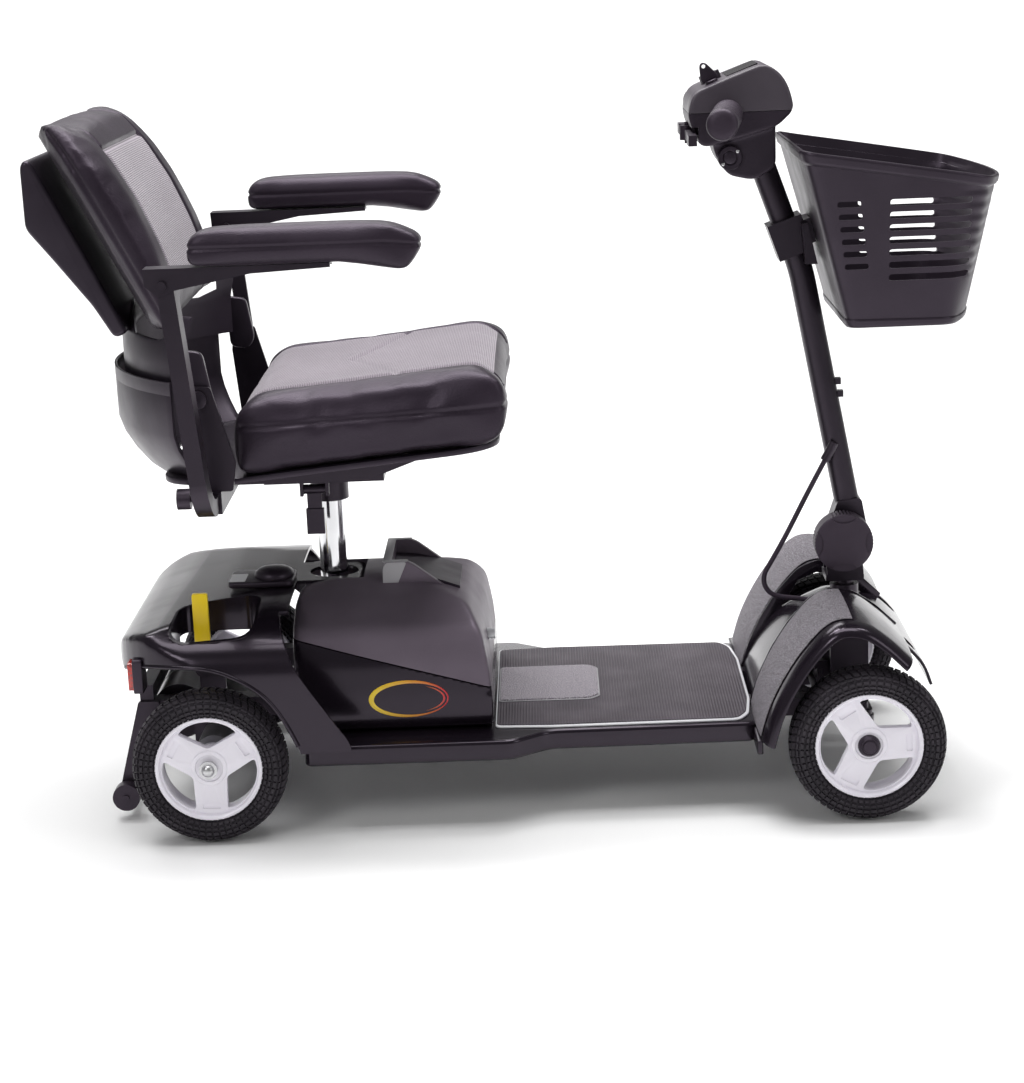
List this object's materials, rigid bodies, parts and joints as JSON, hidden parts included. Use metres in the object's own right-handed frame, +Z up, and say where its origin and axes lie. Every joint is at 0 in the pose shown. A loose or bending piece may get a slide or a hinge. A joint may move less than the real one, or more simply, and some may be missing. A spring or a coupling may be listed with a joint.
{
  "type": "mobility scooter",
  "caption": "Compact mobility scooter with swivel seat, folding back, flip-up armrests, adjustable tiller with basket, lift-off battery box, white three-spoke wheels and steering front axle.",
  "frame": {"origin": "on the ground, midway between the front and rear axles and midway across", "axes": "+X forwards, +Y to the rider's left, +Z up"},
  "size_m": [1.1679, 0.644, 0.9009],
  "materials": {
    "tyre_rubber": "dark grey block-tread tyre rubber",
    "white_rim": "satin white enamel on cast wheels",
    "frame_black": "semi-gloss black powder coat",
    "bright_steel": "polished steel",
    "zinc_steel": "zinc-plated steel",
    "gloss_black": "gloss black moulded plastic",
    "textured_grey": "fine-grained dark grey plastic",
    "matte_black": "matte black moulded plastic",
    "light_grey": "light grey plastic",
    "mat_rubber": "ribbed rubber mat",
    "grit_pad": "granular anti-slip pad",
    "yellow": "yellow lever plastic",
    "red_lens": "red reflector lens",
    "alloy": "cast aluminium",
    "seat_vinyl": "black grained vinyl with grey fabric centre",
    "clear_button": "clear white button boot",
    "grip_rubber": "soft black grip rubber"
  },
  "bodies": {
    "chassis": {"rear_frame": "frame_black", "front_frame": "frame_black", "headset_rings": "bright_steel", "floor_pan": "gloss_black", "deck_mat": "mat_rubber", "deck_center_pad": "grit_pad", "rear_cover": "gloss_black", "rear_reflectors": "red_lens", "latch_console": "matte_black", "transaxle_housing": "alloy", "drive_motor": "frame_black"},
    "rear_wheel_right": {"rear_tyre_right": "tyre_rubber", "rear_rim_right": "white_rim", "half_shaft_right": "zinc_steel"},
    "rear_wheel_left": {"rear_tyre_left": "tyre_rubber", "rear_rim_left": "white_rim", "half_shaft_left": "zinc_steel"},
    "front_wheel_right": {"front_tyre_right": "tyre_rubber", "front_rim_right": "white_rim"},
    "front_wheel_left": {"front_tyre_left": "tyre_rubber", "front_rim_left": "white_rim"},
    "anti_tip_axle": {"anti_tip_wheels": "matte_black"},
    "freewheel_arm": {"freewheel_lever": "yellow"},
    "steering": {"steering_column": "frame_black", "tiller_cable": "matte_black"},
    "knuckle_right": {"knuckle_right": "zinc_steel"},
    "knuckle_left": {"knuckle_left": "zinc_steel"},
    "tie_rod": {"tie_rod": "zinc_steel"},
    "tiller": {"tiller_tube": "frame_black", "hand_grips": "grip_rubber", "head_lower_shell": "matte_black", "head_upper_shell": "textured_grey", "gauge_panel": "gloss_black", "charger_socket": "matte_black", "basket_bracket": "matte_black"},
    "tilt_knob": {"tilt_knob": "textured_grey"},
    "throttle": {"throttle_lever": "matte_black"},
    "speed_dial": {"speed_dial": "matte_black"},
    "key": {"ignition_key": "matte_black"},
    "horn": {"horn_button": "clear_button"},
    "basket": {"basket": "matte_black"},
    "battery": {"battery_lower_case": "textured_grey", "battery_lid": "textured_grey", "battery_cells": "light_grey", "battery_grip": "light_grey"},
    "breaker": {"breaker_button": "clear_button"},
    "seat_post": {"seat_post": "bright_steel"},
    "seat": {"seat_frame": "frame_black", "seat_shell": "matte_black", "seat_cushion": "seat_vinyl", "arm_knobs": "matte_black"},
    "swivel_lever": {"swivel_lever": "frame_black"},
    "seat_back": {"back_shell": "matte_black", "back_cushion": "seat_vinyl"},
    "arm_right": {"arm_bar_right": "frame_black"},
    "arm_left": {"arm_bar_left": "frame_black"},
    "armrest_right": {"armrest_bracket_right": "frame_black", "armrest_pad_right": "seat_vinyl"},
    "armrest_left": {"armrest_bracket_left": "frame_black", "armrest_pad_left": "seat_vinyl"}
  },
  "joints": [
    {"name": "rear_wheel_right_spin", "type": "hinge", "parent": "chassis", "child": "rear_wheel_right", "pos_m": [-0.3975, -0.215, 0.095], "axis": [0, 1, 0], "continuous": true},
    {"name": "rear_wheel_left_spin", "type": "hinge", "parent": "chassis", "child": "rear_wheel_left", "pos_m": [-0.3975, 0.215, 0.095], "axis": [0, 1, 0], "continuous": true},
    {"name": "anti_tip_spin", "type": "hinge", "parent": "chassis", "child": "anti_tip_axle", "pos_m": [-0.518, 0, 0.028], "axis": [0, 1, 0], "continuous": true},
    {"name": "freewheel_select", "type": "hinge", "parent": "chassis", "child": "freewheel_arm", "pos_m": [-0.403, -0.17, 0.204], "axis": [0, 1, 0], "range_deg": [0, 30]},
    {"name": "steer", "type": "hinge", "parent": "chassis", "child": "steering", "pos_m": [0.3975, 0, 0.15], "axis": [0, 0, 1], "range_deg": [-30, 30]},
    {"name": "knuckle_right_turn", "type": "hinge", "parent": "chassis", "child": "knuckle_right", "pos_m": [0.3975, -0.172, 0.095], "axis": [0, 0, 1], "range_deg": [-30, 30]},
    {"name": "knuckle_left_turn", "type": "hinge", "parent": "chassis", "child": "knuckle_left", "pos_m": [0.3975, 0.172, 0.095], "axis": [0, 0, 1], "range_deg": [-30, 30]},
    {"name": "tie_rod_swing", "type": "hinge", "parent": "steering", "child": "tie_rod", "pos_m": [0.3525, 0, 0.117], "axis": [0, 0, 1], "range_deg": [-30, 30]},
    {"name": "front_wheel_right_spin", "type": "hinge", "parent": "knuckle_right", "child": "front_wheel_right", "pos_m": [0.3975, -0.215, 0.095], "axis": [0, 1, 0], "continuous": true},
    {"name": "front_wheel_left_spin", "type": "hinge", "parent": "knuckle_left", "child": "front_wheel_left", "pos_m": [0.3975, 0.215, 0.095], "axis": [0, 1, 0], "continuous": true},
    {"name": "tiller_tilt", "type": "hinge", "parent": "steering", "child": "tiller", "pos_m": [0.392, 0, 0.3], "axis": [0, -1, 0], "range_deg": [-10, 28], "deforming": ["tiller_cable"]},
    {"name": "tilt_knob_turn", "type": "hinge", "parent": "steering", "child": "tilt_knob", "pos_m": [0.392, -0.038, 0.3], "axis": [0, 1, 0], "range_deg": [0, 90]},
    {"name": "throttle_push", "type": "hinge", "parent": "tiller", "child": "throttle", "pos_m": [0.209, 0, 0.813], "axis": [0, 0, 1], "range_deg": [-8, 8], "stiffness_Nm_per_rad": 1},
    {"name": "speed_dial_turn", "type": "hinge", "parent": "tiller", "child": "speed_dial", "pos_m": [0.24013, 0, 0.87372], "axis": [-0.3487, 0, 0.9372], "range_deg": [-120, 120]},
    {"name": "key_turn", "type": "hinge", "parent": "tiller", "child": "key", "pos_m": [0.23826, -0.036, 0.87303], "axis": [-0.3487, 0, 0.9372], "range_deg": [0, 60]},
    {"name": "horn_press", "type": "slide", "parent": "tiller", "child": "horn", "axis": [0.3487, 0, -0.9372], "range_m": [0, 0.002], "stiffness_N_per_m": 800},
    {"name": "basket_lift", "type": "slide", "parent": "tiller", "child": "basket", "axis": [0.6, 0, 0.8], "range_m": [0, 0.05]},
    {"name": "battery_lift", "type": "slide", "parent": "chassis", "child": "battery", "axis": [0, 0, 1], "range_m": [0, 0.03]},
    {"name": "breaker_press", "type": "slide", "parent": "battery", "child": "breaker", "axis": [-1, 0, 0], "range_m": [0, 0.003], "stiffness_N_per_m": 800},
    {"name": "seat_height", "type": "slide", "parent": "chassis", "child": "seat_post", "axis": [0, 0, 1], "range_m": [0, 0.05]},
    {"name": "seat_swivel", "type": "hinge", "parent": "seat_post", "child": "seat", "pos_m": [-0.254, 0, 0.39], "axis": [0, 0, 1], "continuous": true},
    {"name": "swivel_release", "type": "hinge", "parent": "seat", "child": "swivel_lever", "pos_m": [-0.267, -0.059, 0.397], "axis": [-1, 0, 0], "range_deg": [0, 25], "stiffness_Nm_per_rad": 0.8},
    {"name": "back_fold", "type": "hinge", "parent": "seat", "child": "seat_back", "pos_m": [-0.379, 0, 0.546], "axis": [0, 1, 0], "range_deg": [0, 95]},
    {"name": "arm_right_width", "type": "slide", "parent": "seat", "child": "arm_right", "axis": [0, -1, 0], "range_m": [0, 0.04]},
    {"name": "arm_left_width", "type": "slide", "parent": "seat", "child": "arm_left", "axis": [0, 1, 0], "range_m": [0, 0.04]},
    {"name": "armrest_right_flip", "type": "hinge", "parent": "arm_right", "child": "armrest_right", "pos_m": [-0.399, -0.29, 0.69], "axis": [0, -1, 0], "range_deg": [0, 100]},
    {"name": "armrest_left_flip", "type": "hinge", "parent": "arm_left", "child": "armrest_left", "pos_m": [-0.399, 0.29, 0.69], "axis": [0, -1, 0], "range_deg": [0, 100]}
  ],
  "couplings": [
    {"joint": "knuckle_right_turn", "follows": "steer", "ratio": 1},
    {"joint": "knuckle_left_turn", "follows": "steer", "ratio": 1},
    {"joint": "tie_rod_swing", "follows": "steer", "ratio": -1}
  ]
}
